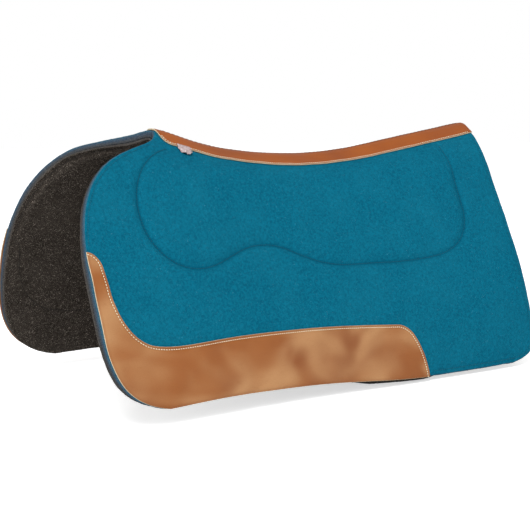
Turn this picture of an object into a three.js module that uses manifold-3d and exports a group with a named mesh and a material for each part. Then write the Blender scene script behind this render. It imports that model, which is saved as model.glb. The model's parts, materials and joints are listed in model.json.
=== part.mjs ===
// Contoured western saddle pad: two felt halves sewn together along the ridge, draped as they
// sit on a horse. Millimetres; +X towards the horse's tail, -Y the horse's left, +Z up.
// The pad is drawn flat first, as points (x, drop): drop is measured over the surface, down from
// the ridge. Each layer is then draped at its own height above or below the outer felt face.
import * as THREE from "three";
import { mergeVertices } from "three/addons/utils/BufferGeometryUtils.js";
import Module from "manifold-3d";

const wasm = await Module();
wasm.setup();

// ---- Driving dimensions -------------------------------------------------------------------

const padLength = 712;
const ridgeLength = 555;
const cornerDrop = 406; // over the surface, ridge to the lowest front corner
const waistDrop = 358; // the same at the shallowest point of the hem
const stripHalfWidth = 35;

const outerFelt = 11;
const innerFelt = 7.5;
const insertThickness = 5;
const leather = 2.2;
const cord = 1; // height of a row of stitches above what it is sewn to
const cordWidth = 1.6;
const clearance = 0.4; // left between neighbouring pieces
const leatherClearance = 0.6; // a little more, because the leather is flatter than the felt

// From an edge to the row of stitches along it.
const frontInset = 5;
const rearInset = 7;
const wearInset = 3.5;
const spineInset = 2.5;

const foldClosed = THREE.MathUtils.degToRad(40); // total fold, inward and outward
const foldOpen = THREE.MathUtils.degToRad(30);

// The arch from side to side: slope in degrees at each distance over the surface.
const ridgeSlope = 33;
const flankSlope = 63;
const hemSlope = 85.7;
const arch = [
  [0, 0],
  [15, ridgeSlope],
  [40, ridgeSlope],
  [95, flankSlope],
  [250, flankSlope],
  [420, hemSlope],
];

// Close to the ridge the arch is peaked at the withers and flattened behind them.
const peakHeight = 2;
const flattening = 3;
const peakLength = 100;
const capReach = 60; // over the surface, from the ridge

// The ridge from front to back: a straight fall from the withers, a dip, a straight rise.
const withersGrade = -0.245;
const loinGrade = 0.16;
const dipHalfLength = 150;

// ---- Values worked out from them ----------------------------------------------------------

const front = -padLength / 2;
const rear = padLength / 2;
const ridgeFront = rear - ridgeLength;
const innerFace = -(outerFelt + clearance + innerFelt);
const highestRidge = ridgeRise(rear);
const lowestLining = ridgeRise(dipHalfLength / 5) + innerFace;
const hingeRise = (highestRidge + lowestLining) / 2;

// How finely the pieces are divided, along and across.
const feltColumns = 18;
const feltRows = 14;
const insertColumns = 18;
const insertRows = 8;
const leatherColumns = 24;
const wearRows = 3;
const spineRows = 10;
const tagDivisions = 4;
const ridgeStitches = 60;

// ---- The draped surface -------------------------------------------------------------------

function ridgeRise(x) {
  const bend = (loinGrade - withersGrade) / (2 * dipHalfLength);
  const atDipFront = withersGrade * (-dipHalfLength - (padLength / 2 - ridgeLength));
  const into = THREE.MathUtils.clamp(x + dipHalfLength, 0, 2 * dipHalfLength);
  const dip = atDipFront + withersGrade * into + (bend * into * into) / 2;
  const before = Math.min(x + dipHalfLength, 0) * withersGrade;
  const beyond = Math.max(x - dipHalfLength, 0) * loinGrade;
  return dip + before + beyond;
}

// Half width, fall and slope of the arch at a distance over the surface.
function archAt(drop) {
  let out = 0;
  let down = 0;
  let slope = 0;
  for (let i = 1; i < arch.length; i += 1) {
    const [from, fromSlope] = arch[i - 1];
    const [to, toSlope] = arch[i];
    const run = THREE.MathUtils.clamp(drop, from, to) - from;
    const a = THREE.MathUtils.degToRad(fromSlope);
    const b = a + (THREE.MathUtils.degToRad(toSlope - fromSlope) * run) / (to - from);
    if (b - a > 1e-9) {
      out += (run * (Math.sin(b) - Math.sin(a))) / (b - a);
      down += (run * (Math.cos(a) - Math.cos(b))) / (b - a);
    } else {
      out += run * Math.cos(a);
      down += run * Math.sin(a);
    }
    if (run > 0) {
      slope = b;
    }
  }
  return { out, down, slope };
}

// How much lower than the plain arch the surface lies, close to the ridge.
function capFall(x, drop) {
  const behind = THREE.MathUtils.smoothstep(x, ridgeFront, ridgeFront + peakLength);
  const near = 1 - THREE.MathUtils.smoothstep(drop, 0, capReach);
  return THREE.MathUtils.lerp(-peakHeight, flattening, behind) * near;
}

// A flat point draped on the left half (a negative drop lands on the right half).
function drape(x, drop, height) {
  const side = drop < 0 ? 1 : -1;
  const { out, down, slope } = archAt(Math.abs(drop));
  const y = side * (out + height * Math.sin(slope));
  const top = ridgeRise(x) - capFall(x, Math.abs(drop));
  return new THREE.Vector3(x, y, top - down + height * Math.cos(slope));
}

// ---- Flat outlines ------------------------------------------------------------------------

const at = (x, drop) => new THREE.Vector2(x, drop);

function line(a, b) {
  return new THREE.LineCurve(a, b);
}

function bend(a, pullA, pullB, b) {
  return new THREE.CubicBezierCurve(a, pullA, pullB, b);
}

function chain(...curves) {
  const path = new THREE.CurvePath();
  curves.forEach((curve) => path.add(curve));
  return path;
}

// Part of a curve, between two fractions of its length; from may be the larger.
function stretch(curve, from, to) {
  return { getPointAt: (s) => curve.getPointAt(THREE.MathUtils.lerp(from, to, s)) };
}

// The first fraction of a curve's length at which a test of the point is true.
function fractionWhere(curve, test) {
  const steps = 2000;
  for (let i = 0; i <= steps; i += 1) {
    if (test(curve.getPointAt(i / steps))) {
      return i / steps;
    }
  }
  return 1;
}

const frontCorner = at(front + 84, cornerDrop);
const rearCorner = at(rear - 50, cornerDrop - 3);
const rearEdgeX = rear - 10;
const rearHeelX = rear - 5; // the rear edge leans out a little towards the hem
const ridge = line(at(ridgeFront, 0), at(rear, 0));
const frontEdge = chain(
  bend(at(ridgeFront, 0), at(ridgeFront - 6, 73), at(front, 54), at(front, 257)),
  bend(at(front, 257), at(front, 360), at(front + 8, cornerDrop + 5), frontCorner),
);
const hem = bend(frontCorner, at(-8, waistDrop - 31), at(16, waistDrop + 4), rearCorner);
const rearEdge = chain(
  bend(rearCorner, at(rearHeelX - 12, cornerDrop - 4), at(rearHeelX, 396), at(rearHeelX, 372)),
  bend(at(rearHeelX, 372), at(rearHeelX, 260), at(rearHeelX - 1, 150), at(rearEdgeX + 2, 100)),
  bend(at(rearEdgeX + 2, 100), at(rearEdgeX, 60), at(rear - 3, 42), at(rear, 0)),
);
const perimeter = chain(...frontEdge.curves, hem, ...rearEdge.curves);

// The quilting line that holds the insert, from the strip round to the strip again.
const pocketFront = -267;
const pocketRear = 275;
const pocketTop = stripHalfWidth + 11;
const lobeDrop = 219;
const archDrop = 166;
const seatDrop = 197;
const rearLobeDrop = 213;
const quiltFront = bend(at(-198, pocketTop), at(-240, 70), at(pocketFront, 110), at(pocketFront, 155));
const quiltBottom = chain(
  bend(at(pocketFront, 155), at(pocketFront, 195), at(-243, lobeDrop), at(-210, lobeDrop)),
  bend(at(-210, lobeDrop), at(-160, lobeDrop), at(-130, archDrop), at(-74, archDrop)),
  bend(at(-74, archDrop), at(-35, archDrop), at(-20, seatDrop - 3), at(60, seatDrop)),
  bend(at(60, seatDrop), at(110, seatDrop + 2), at(160, rearLobeDrop), at(208, rearLobeDrop)),
  bend(at(208, rearLobeDrop), at(252, rearLobeDrop), at(pocketRear, 190), at(pocketRear, 150)),
);
const quiltRear = line(at(pocketRear, 150), at(pocketRear, pocketTop));
const quiltLine = chain(quiltFront, ...quiltBottom.curves, quiltRear);
const quiltTop = line(at(-198, pocketTop), at(pocketRear, pocketTop));

// The wear leather: a leg up the front edge and a long foot along the hem.
const legTopDrop = 225;
const toeX = 144;
const legTop = fractionWhere(perimeter, (p) => p.y > legTopDrop);
const toe = fractionWhere(perimeter, (p) => p.x > toeX);
const legTopPoint = perimeter.getPointAt(legTop);
const toePoint = perimeter.getPointAt(toe);
const legShoulder = at(front + 19, 245);
const footHeel = at(-285, 331);
const footToe = at(toeX - 42, 294);
const shoulderBend = bend(legTopPoint, at(front + 10, 225), at(front + 19, 232), legShoulder);
const wearUpper = chain(
  line(legShoulder, at(front + 22, 275)),
  bend(at(front + 22, 275), at(front + 26, 305), at(front + 44, 331), footHeel),
  bend(footHeel, at(-215, 331), at(-100, 255), footToe),
);
const toeBend = bend(footToe, at(toeX - 22, 298), at(toeX - 6, 325), toePoint);
const wearEdge = chain(shoulderBend, ...wearUpper.curves, toeBend);

// The spine strip, cut straight across at the withers and the loin, with rounded front corners.
const stripCorner = 16;
const stripEdge = chain(
  bend(at(ridgeFront + 2, 3), at(ridgeFront + 3, 22), at(ridgeFront + 4, stripHalfWidth - 0.5),
    at(ridgeFront + stripCorner, stripHalfWidth)),
  line(at(ridgeFront + stripCorner, stripHalfWidth), at(rearEdgeX, stripHalfWidth)),
);

// The flat area between four boundary curves, as a function of (u, v) from 0 to 1.
function area(top, bottom, left, right) {
  const corner = [top.getPointAt(0), top.getPointAt(1), bottom.getPointAt(0), bottom.getPointAt(1)];
  return (u, v) => {
    const across = top.getPointAt(u).multiplyScalar(1 - v).addScaledVector(bottom.getPointAt(u), v);
    const along = left.getPointAt(v).multiplyScalar(1 - u).addScaledVector(right.getPointAt(v), u);
    const blend = corner[0].clone().multiplyScalar((1 - u) * (1 - v));
    blend.addScaledVector(corner[1], u * (1 - v));
    blend.addScaledVector(corner[2], (1 - u) * v);
    blend.addScaledVector(corner[3], u * v);
    return across.add(along).sub(blend);
  };
}

const feltArea = area(ridge, hem, frontEdge, stretch(rearEdge, 1, 0));
const insertArea = area(quiltTop, quiltBottom, quiltFront, stretch(quiltRear, 1, 0));
const wearArea = area(wearUpper, stretch(perimeter, legTop, toe), stretch(shoulderBend, 1, 0), toeBend);

// ---- Solids -------------------------------------------------------------------------------

// A box of unit size, moved corner by corner: u runs along X, v down from +Y, w up along Z.
function shapedBox(columns, rows, place) {
  const box = new THREE.BoxGeometry(1, 1, 1, columns, rows, 1);
  const corners = box.getAttribute("position");
  for (let i = 0; i < corners.count; i += 1) {
    const moved = place(corners.getX(i) + 0.5, 0.5 - corners.getY(i), corners.getZ(i) + 0.5);
    corners.setXYZ(i, moved.x, moved.y, moved.z);
  }
  return box;
}

function sheet(flat, low, high, columns, rows) {
  return shapedBox(columns, rows, (u, v, w) => {
    const point = flat(u, v);
    return drape(point.x, point.y, THREE.MathUtils.lerp(low, high, w));
  });
}

// A felt layer, up to the middle of the ridge; its rows are closer together at the ridge and hem.
function feltLayer(low, high) {
  const crowding = 0.1;
  const row = (v) => v - crowding * Math.sin(2 * Math.PI * v);
  return sheet((u, v) => feltArea(u, row(v)), low, high, feltColumns, feltRows);
}

// A row of stitches as a flat cord beside a curve; inset is positive towards the pad's middle.
function stitchRow(curve, inset, low, steps) {
  return shapedBox(steps, 1, (u, v, w) => {
    const step = 0.002;
    const point = curve.getPointAt(u);
    const ahead = curve.getPointAt(Math.min(u + step, 1));
    const along = ahead.sub(curve.getPointAt(Math.max(u - step, 0))).normalize();
    const aside = inset + (0.5 - v) * cordWidth;
    return drape(point.x + along.y * aside, point.y - along.x * aside, low + w * cord);
  });
}

function toManifold(shape) {
  shape.deleteAttribute("normal");
  shape.deleteAttribute("uv");
  const geometry = mergeVertices(shape, 1e-4);
  return new wasm.Manifold(new wasm.Mesh({
    numProp: 3,
    vertProperties: new Float32Array(geometry.getAttribute("position").array),
    triVerts: new Uint32Array(geometry.getIndex().array),
  }));
}

function fromManifold(solid) {
  const mesh = solid.getMesh();
  const geometry = new THREE.BufferGeometry();
  geometry.setAttribute("position", new THREE.BufferAttribute(mesh.vertProperties, 3));
  geometry.setIndex(new THREE.BufferAttribute(mesh.triVerts, 1));
  return geometry;
}

// The insert lies between the felts, in a recess in the back of the outer one.
function insertShape(margin, low, high) {
  const shrink = (s, span) => THREE.MathUtils.lerp(margin / span, 1 - margin / span, s);
  const flat = (u, v) => insertArea(shrink(u, pocketRear - pocketFront), shrink(v, archDrop - pocketTop));
  return sheet(flat, low, high, insertColumns, insertRows);
}

function insert() {
  const low = -outerFelt + clearance;
  return insertShape(5, low, low + insertThickness);
}

// The room the halves need to fold about the ridge: an hourglass whose waist is the hinge.
function foldGap() {
  const waist = clearance / 2;
  const reach = 60;
  const over = waist + reach * Math.tan(foldOpen / 2);
  const under = waist + reach * Math.tan(foldClosed / 2);
  const section = new THREE.Shape([
    new THREE.Vector2(waist, hingeRise),
    new THREE.Vector2(over, hingeRise + reach),
    new THREE.Vector2(-over, hingeRise + reach),
    new THREE.Vector2(-waist, hingeRise),
    new THREE.Vector2(-under, hingeRise - reach),
    new THREE.Vector2(under, hingeRise - reach),
  ]);
  const prism = new THREE.ExtrudeGeometry(section, { depth: padLength + 20, bevelEnabled: false });
  prism.translate(0, 0, front - 10);
  const alongX = [new THREE.Vector3(0, 1, 0), new THREE.Vector3(0, 0, 1), new THREE.Vector3(1, 0, 0)];
  prism.applyMatrix4(new THREE.Matrix4().makeBasis(...alongX));
  return toManifold(prism);
}

function outerFeltLayer() {
  const below = 3; // the recess runs out through the back of the felt
  const recess = insertShape(4, -outerFelt - below, -outerFelt + insertThickness + 2 * clearance);
  const layer = toManifold(feltLayer(-outerFelt, 0));
  return fromManifold(layer.subtract(toManifold(recess)).subtract(foldGap()));
}

function innerFeltLayer() {
  return fromManifold(toManifold(feltLayer(innerFace, -outerFelt - clearance)).subtract(foldGap()));
}

function wearLeather() {
  return sheet(wearArea, leatherClearance, leatherClearance + leather, leatherColumns, wearRows);
}

function wearThread() {
  return stitchRow(wearEdge, -wearInset, leatherClearance + leather + clearance, 44);
}

function insertThread() {
  return stitchRow(quiltLine, 0, leatherClearance, 44);
}

function frontEdgeThread() {
  const start = fractionWhere(perimeter, (p) => p.y > stripHalfWidth + 8);
  const end = fractionWhere(perimeter, (p) => p.y > legTopDrop - 10);
  return stitchRow(stretch(perimeter, start, end), frontInset, leatherClearance, 12);
}

function rearEdgeThread() {
  const start = fractionWhere(perimeter, (p) => p.x > toeX + 8);
  const end = fractionWhere(perimeter, (p) => p.x > 0 && p.x > rearEdgeX - 1 && p.y < stripHalfWidth + 8);
  return stitchRow(stretch(perimeter, start, end), rearInset, leatherClearance, 36);
}

const stripTop = leatherClearance + leather;
function spineLeather() {
  const towardsTip = 1.6; // the columns are closer together at the rounded end
  const atTail = 12; // only the last columns lean back to the end of the ridge
  return shapedBox(leatherColumns, spineRows, (u, v, w) => {
    const edge = stripEdge.getPointAt(u ** towardsTip);
    const lean = (rear - rearEdgeX) * (1 - Math.abs(2 * v - 1)) * u ** atTail;
    return drape(edge.x + lean, (2 * v - 1) * edge.y, leatherClearance + w * leather);
  });
}

function spineThread() {
  return stitchRow(stretch(stripEdge, 0.05, 0.99), spineInset, stripTop + clearance, 26);
}

// The seam that joins the halves, zigzagging over the ridge.
function ridgeSeam() {
  const reach = 3;
  return shapedBox(ridgeStitches, 1, (u, v, w) => {
    const swing = Math.round(u * ridgeStitches) % 2 ? reach : -reach;
    const x = THREE.MathUtils.lerp(ridgeFront + 12, rear - 8, u);
    return drape(x, swing + (v - 0.5) * cordWidth, stripTop + clearance + w * cord);
  });
}

// A small blank tab, hanging from under the strip near the withers.
function makerTag() {
  const left = ridgeFront + 18;
  const right = left + 28;
  const tagThickness = 1.2;
  const top = stripHalfWidth + 1.5;
  const bottom = top + 17;
  const shape = area(
    line(at(left, top), at(right, top)),
    line(at(left + 5, bottom), at(right - 5, bottom)),
    bend(at(left, top), at(left, top + 9), at(left, bottom - 1), at(left + 5, bottom)),
    bend(at(right, top), at(right, top + 9), at(right, bottom - 1), at(right - 5, bottom)),
  );
  return sheet(shape, leatherClearance, leatherClearance + tagThickness, tagDivisions, tagDivisions);
}

// ---- Materials ----------------------------------------------------------------------------

function material(color, roughness) {
  return new THREE.MeshStandardMaterial({ color, roughness, metalness: 0 });
}

const tealFelt = material(0x166f8c, 0.95);
const charcoalFelt = material(0x2f2a27, 0.97);
const insertFoam = material(0x3d4144, 0.9);
const tanLeather = material(0xb27748, 0.55);
const russetLeather = material(0xa55f2f, 0.5);
const creamThread = material(0xe9ddc0, 0.7);
const russetThread = material(0x96542c, 0.7);
const tealThread = material(0x0e566c, 0.8);
const silverTag = material(0xcfc4c0, 0.6);

// ---- Assembly -----------------------------------------------------------------------------

const pad = new THREE.Group();
pad.name = "saddle_pad";

function addPiece(name, geometry, finish) {
  const mesh = new THREE.Mesh(geometry, finish);
  mesh.name = name;
  pad.add(mesh);
}

function mirrored(geometry) {
  const copy = geometry.clone();
  copy.scale(1, -1, 1);
  const index = copy.getIndex();
  for (let i = 0; i < index.count; i += 3) {
    const swap = index.getX(i);
    index.setX(i, index.getX(i + 1));
    index.setX(i + 1, swap);
  }
  return copy;
}

const halfPieces = [
  ["outer_felt", outerFeltLayer(), tealFelt],
  ["inner_felt", innerFeltLayer(), charcoalFelt],
  ["insert", insert(), insertFoam],
  ["wear_leather", wearLeather(), tanLeather],
  ["wear_thread", wearThread(), creamThread],
  ["insert_thread", insertThread(), tealThread],
  ["front_edge_thread", frontEdgeThread(), tealThread],
  ["rear_edge_thread", rearEdgeThread(), tealThread],
  ["spine_thread", spineThread(), creamThread],
];
halfPieces.forEach(([name, geometry, finish]) => {
  addPiece(`left_${name}`, geometry, finish);
  addPiece(`right_${name}`, mirrored(geometry), finish);
});
addPiece("spine_leather", spineLeather(), russetLeather);
addPiece("ridge_seam_thread", ridgeSeam(), russetThread);
addPiece("maker_tag", makerTag(), silverTag);

// The pad stands on z = 0, over the origin.
const box = new THREE.Box3().setFromObject(pad);
const middle = box.getCenter(new THREE.Vector3());
pad.children.forEach((mesh) => mesh.geometry.translate(-middle.x, 0, -box.min.z));

export default pad;
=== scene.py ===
"""The looks of a contoured western saddle pad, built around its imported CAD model.

The pad is laid out flat first, as the CAD is: points (x, drop) in millimetres, with drop measured
over the surface, down from the ridge. A drop above 0 is on the left half, below 0 on the right.
Heights are measured outward from the outer felt's face. drape() turns both into metres.
"""
import json
import math

import bpy
import numpy as np
from mathutils import Matrix, Vector


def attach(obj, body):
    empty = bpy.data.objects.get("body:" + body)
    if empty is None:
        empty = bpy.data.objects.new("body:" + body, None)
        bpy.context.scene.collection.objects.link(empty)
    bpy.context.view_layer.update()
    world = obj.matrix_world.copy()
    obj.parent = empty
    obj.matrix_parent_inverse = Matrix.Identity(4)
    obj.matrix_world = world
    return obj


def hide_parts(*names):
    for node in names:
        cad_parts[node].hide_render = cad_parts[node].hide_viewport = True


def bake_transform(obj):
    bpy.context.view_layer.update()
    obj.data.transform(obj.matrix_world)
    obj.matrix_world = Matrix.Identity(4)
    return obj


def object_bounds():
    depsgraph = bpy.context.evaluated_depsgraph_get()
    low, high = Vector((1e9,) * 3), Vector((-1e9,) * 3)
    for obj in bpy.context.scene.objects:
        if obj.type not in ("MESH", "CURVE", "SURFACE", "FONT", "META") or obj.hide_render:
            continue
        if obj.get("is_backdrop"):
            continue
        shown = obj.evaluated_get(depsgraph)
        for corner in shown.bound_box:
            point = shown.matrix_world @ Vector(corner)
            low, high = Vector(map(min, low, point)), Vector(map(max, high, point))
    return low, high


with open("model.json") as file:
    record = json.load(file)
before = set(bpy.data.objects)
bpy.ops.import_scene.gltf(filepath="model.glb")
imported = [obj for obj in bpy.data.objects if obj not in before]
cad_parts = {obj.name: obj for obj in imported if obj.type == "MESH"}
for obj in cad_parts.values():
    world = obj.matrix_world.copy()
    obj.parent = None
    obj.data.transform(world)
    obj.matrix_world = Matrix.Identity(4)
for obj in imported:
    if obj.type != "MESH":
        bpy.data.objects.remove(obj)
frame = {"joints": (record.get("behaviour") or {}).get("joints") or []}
cad_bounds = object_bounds()

# ---- Sizes: millimetres, from the frame where it holds them ----

MM = 0.001
HALVES = {"left": 1, "right": -1}  # and the sign of the drop on each

cad_low, cad_high = (Vector(corner) / MM for corner in cad_bounds)
front = cad_low.x
rear = cad_high.x
hinge_height = frame["joints"][0]["pos_m"][2] / MM

ridge_length = 555
ridge_front = rear - ridge_length
corner_drop = 406
waist_drop = 358
strip_half_width = 35
rear_edge_x = rear - 10
rear_heel_x = rear - 5

outer_felt = 11.0
inner_felt = 7.5
insert_thickness = 5.0
leather = 2.2
clearance = 0.4
inner_face = -(outer_felt + clearance + inner_felt)

# The arch from side to side: slope in degrees at each distance over the surface.
ARCH = [(0, 0), (15, 33), (40, 33), (95, 63), (250, 63), (420, 85.7)]
# The ridge from front to back: a straight fall, a dip and a straight rise.
withers_grade = -0.245
loin_grade = 0.16
dip_half_length = 150
# Close to the ridge the arch is peaked at the withers and flattened behind them.
peak_height = 2
flattening = 3
peak_length = 100
cap_reach = 60
# The right half stands a little higher at the shoulder than the left.
right_rise = 4.5


# ---- The draped surface ----

def smooth(value, start, end):
    t = np.clip((value - start) / (end - start), 0, 1)
    return t * t * (3 - 2 * t)


def cap_fall(x, drop):
    """How much lower than the plain arch the surface lies."""
    behind = smooth(x, ridge_front, ridge_front + peak_length)
    near = 1 - smooth(np.abs(drop), 0, cap_reach)
    fall = (flattening * behind - peak_height * (1 - behind)) * near
    shoulder = smooth(-drop, 0, 25) * (1 - smooth(-drop, 80, 200))
    shoulder *= 1 - smooth(x, ridge_front - 30, ridge_front + 90)
    return fall - right_rise * shoulder


def ridge_rise(x):
    into = np.clip(x + dip_half_length, 0, 2 * dip_half_length)
    curve = (loin_grade - withers_grade) / (4 * dip_half_length)
    at_dip_front = withers_grade * (-dip_half_length - ridge_front)
    before = withers_grade * np.minimum(x + dip_half_length, 0)
    beyond = loin_grade * np.maximum(x - dip_half_length, 0)
    return at_dip_front + withers_grade * into + curve * into**2 + before + beyond


def arch_at(drop):
    """Half width, fall and slope of the arch at a distance over the surface."""
    out = np.zeros_like(drop)
    down = np.zeros_like(drop)
    slope = np.zeros_like(drop)
    for (start, start_slope), (end, end_slope) in zip(ARCH, ARCH[1:]):
        run = np.clip(drop, start, end) - start
        a = math.radians(start_slope)
        b = a + math.radians(end_slope - start_slope) * run / (end - start)
        middle = (a + b) / 2
        chord = run * np.sinc((b - a) / (2 * np.pi))
        out += chord * np.cos(middle)
        down += chord * np.sin(middle)
        slope = np.where(run > 0, b, slope)
    return out, down, slope


highest_ridge = ridge_rise(np.float64(rear))
lowest_lining = ridge_rise(np.float64(dip_half_length / 5)) + inner_face
lift = hinge_height - (highest_ridge + lowest_lining) / 2


def drape(flat, height):
    """Flat points at a height above the outer felt's face, as points in metres."""
    x, drop = flat[..., 0], flat[..., 1]
    out, down, slope = arch_at(np.abs(drop))
    side = np.where(drop < 0, 1.0, -1.0)
    y = side * (out + height * np.sin(slope))
    z = lift + ridge_rise(x) - cap_fall(x, drop) - down + height * np.cos(slope)
    return np.stack([x, y, z], -1) * MM


# ---- Flat curves ----

def bend(a, pull_a, pull_b, b):
    """A Bezier curve, as points."""
    t = np.linspace(0, 1, 80)[:, None]
    a, pull_a, pull_b, b = (np.array(p, float) for p in (a, pull_a, pull_b, b))
    return (1 - t)**3 * a + 3 * (1 - t)**2 * t * pull_a + 3 * (1 - t) * t**2 * pull_b + t**3 * b


class Raster:
    """Values on a square raster of the flat layout, read anywhere between its points."""

    def __init__(self, low, cell, values):
        self.low = low
        self.cell = cell
        self.values = values

    def __call__(self, flat):
        limit = np.array(self.values.shape) - 1.001
        place = np.clip((flat - self.low) / self.cell, 0, limit)
        i, j = place[..., 0].astype(int), place[..., 1].astype(int)
        a, b = place[..., 0] - i, place[..., 1] - j
        first = self.values[i, j] * (1 - b) + self.values[i, j + 1] * b
        second = self.values[i + 1, j] * (1 - b) + self.values[i + 1, j + 1] * b
        return first * (1 - a) + second * a


FAR = 14  # distances to a curve aren't told apart beyond this
MAP_CELL = 1.0  # between the points of a map
MAP_MARGIN = FAR + 2


def distance_map(path):
    dense = path.at(np.linspace(0, 1, int(2 * path.length) + 2))
    low = dense.min(0) - MAP_MARGIN
    size = ((dense.max(0) + MAP_MARGIN - low) / MAP_CELL).astype(int) + 2
    values = np.full(size, float(FAR))
    reach = int(FAR / MAP_CELL) + 1
    window = np.arange(-reach, reach + 1)
    for x, drop in dense:
        i = int((x - low[0]) / MAP_CELL) + window
        j = int((drop - low[1]) / MAP_CELL) + window
        i = i[(i >= 0) & (i < size[0])]
        j = j[(j >= 0) & (j < size[1])]
        across = low[0] + i[:, None] * MAP_CELL - x
        down = low[1] + j[None, :] * MAP_CELL - drop
        block = values[i[0]:i[-1] + 1, j[0]:j[-1] + 1]
        np.minimum(block, np.hypot(across, down), out=block)
    return Raster(low, MAP_CELL, values)


class Path:
    """A flat curve, read by the fraction of its length."""

    def __init__(self, *stretches):
        stretches = [np.array(s, float) for s in stretches]
        self.points = np.vstack([stretches[0]] + [s[1:] for s in stretches[1:]])
        steps = np.linalg.norm(np.diff(self.points, axis=0), axis=1)
        self.along = np.concatenate([[0], np.cumsum(steps)])
        self.length = self.along[-1]
        self.map = None

    def at(self, fraction):
        s = np.asarray(fraction) * self.length
        return np.stack([np.interp(s, self.along, self.points[:, k]) for k in (0, 1)], -1)

    def direction(self, fraction):
        step = 1.5 / self.length
        ahead = self.at(np.clip(fraction + step, 0, 1))
        ahead = ahead - self.at(np.clip(fraction - step, 0, 1))
        return ahead / np.linalg.norm(ahead, axis=-1, keepdims=True)

    def part(self, start, end):
        count = max(int(abs(end - start) * self.length), 8)
        return Path(self.at(np.linspace(start, end, count)))

    def reversed(self):
        return Path(self.points[::-1])

    def inset(self, distance):
        """The same curve, moved aside; the pad's middle is on the inset side of its outlines."""
        s = np.linspace(0, 1, max(int(self.length), 8))
        way = self.direction(s)
        return Path(self.at(s) + distance * np.stack([way[:, 1], -way[:, 0]], -1))

    def where(self, test):
        """The first fraction of the length at which a test of the point is true."""
        s = np.linspace(0, 1, 4001)
        return s[np.argmax(test(self.at(s)))]

    def distance(self, flat):
        """How far each flat point is from the curve, up to FAR."""
        if self.map is None:
            self.map = distance_map(self)
        return self.map(flat)


# ---- Outlines ----

ridge_gap = 0.15
front_corner = (front + 84, corner_drop)
rear_corner = (rear - 50, corner_drop - 3)
ridge = Path([(ridge_front, ridge_gap), (rear, ridge_gap)])
front_edge = Path(
    [(ridge_front, ridge_gap)],
    bend((ridge_front, 0), (ridge_front - 6, 73), (front, 54), (front, 257)),
    bend((front, 257), (front, 360), (front + 8, corner_drop + 5), front_corner),
)
hem = Path(bend(front_corner, (-8, waist_drop - 31), (16, waist_drop + 4), rear_corner))
inner_hem_drop = 4 * smooth(hem.points[:, 0], 12, 50) * (1 - smooth(hem.points[:, 0], 140, 175))
inner_hem = Path(hem.points + np.stack([np.zeros(len(hem.points)), inner_hem_drop], -1))
rear_edge = Path(
    bend(rear_corner, (rear_heel_x - 12, corner_drop - 4), (rear_heel_x, 396), (rear_heel_x, 372)),
    bend((rear_heel_x, 372), (rear_heel_x, 260), (rear_heel_x - 1, 150), (rear_edge_x + 2, 100)),
    bend((rear_edge_x + 2, 100), (rear_edge_x - 1, 62), (rear - 4, 38), (rear, 0))[:-1],
    [(rear, ridge_gap)] * 2,
)
perimeter = Path(front_edge.points, hem.points, rear_edge.points)

# The quilting line that holds the insert.
pocket_front = -267
pocket_rear = 275
pocket_top = strip_half_width + 11
lobe_drop = 219
arch_drop = 166
seat_drop = 197
rear_lobe_drop = 213
quilt_front = Path(bend((-198, pocket_top), (-240, 70), (pocket_front, 110), (pocket_front, 155)))
quilt_bottom = Path(
    bend((pocket_front, 155), (pocket_front, 195), (-243, lobe_drop), (-210, lobe_drop)),
    bend((-210, lobe_drop), (-160, lobe_drop), (-130, arch_drop), (-74, arch_drop)),
    bend((-74, arch_drop), (-35, arch_drop), (-20, seat_drop - 3), (60, seat_drop)),
    bend((60, seat_drop), (110, seat_drop + 2), (160, rear_lobe_drop), (208, rear_lobe_drop)),
    bend((208, rear_lobe_drop), (252, rear_lobe_drop), (pocket_rear, 190), (pocket_rear, 150)),
)
quilt_rear = Path([(pocket_rear, 150), (pocket_rear, pocket_top)])
quilt_top = Path([(-198, pocket_top), (pocket_rear, pocket_top)])
quilt_line = Path(quilt_front.points, quilt_bottom.points, quilt_rear.points)
pocket_outline = Path(quilt_line.points, quilt_top.points[::-1])

# The wear leather: a leg up the front edge and a long foot along the hem.
leg_top_drop = 225
toe_x = 144
leg_top = perimeter.where(lambda p: p[:, 1] > leg_top_drop)
toe = perimeter.where(lambda p: p[:, 0] > toe_x)
leg_shoulder = (front + 19, 245)
foot_heel = (-285, 331)
foot_toe = (toe_x - 42, 294)
shoulder_bend = Path(
    bend(perimeter.at(leg_top), (front + 10, 225), (front + 19, 232), leg_shoulder),
)
wear_upper = Path(
    [leg_shoulder, (front + 22, 275)],
    bend((front + 22, 275), (front + 26, 305), (front + 44, 331), foot_heel),
    bend(foot_heel, (-215, 331), (-100, 255), foot_toe),
)
toe_bend = Path(bend(foot_toe, (toe_x - 22, 298), (toe_x - 6, 325), perimeter.at(toe)))
wear_edge = Path(shoulder_bend.points, wear_upper.points, toe_bend.points)

# The spine strip, with rounded corners at the withers; its rear end follows the pad's.
strip_corner = 16
strip_front = ridge_front + 0.8
strip_edge = Path(
    bend((strip_front, 3), (strip_front + 0.7, 22), (strip_front + 2.2, strip_half_width - 0.5),
         (ridge_front + strip_corner, strip_half_width)),
    [(ridge_front + strip_corner, strip_half_width), (rear_edge_x, strip_half_width)],
)

# Rows of stitches, as flat curves.
front_inset = 5
rear_inset = 7
wear_row = wear_edge.inset(-3.5)
front_row = perimeter.part(
    perimeter.where(lambda p: p[:, 1] > strip_half_width + 8),
    perimeter.where(lambda p: p[:, 1] > leg_top_drop - 10),
).inset(front_inset)
rear_row = perimeter.part(
    perimeter.where(lambda p: p[:, 0] > toe_x + 8),
    perimeter.where(lambda p: (p[:, 0] > rear_edge_x - 1) & (p[:, 1] < strip_half_width + 8)),
).inset(rear_inset)
spine_row = strip_edge.part(0.03, 0.995).inset(2.5)
under_leather = perimeter.part(leg_top, toe).inset(rear_inset)
edge_row = Path(front_row.points, under_leather.points, rear_row.points)


# ---- Relief of the felt ----

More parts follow.
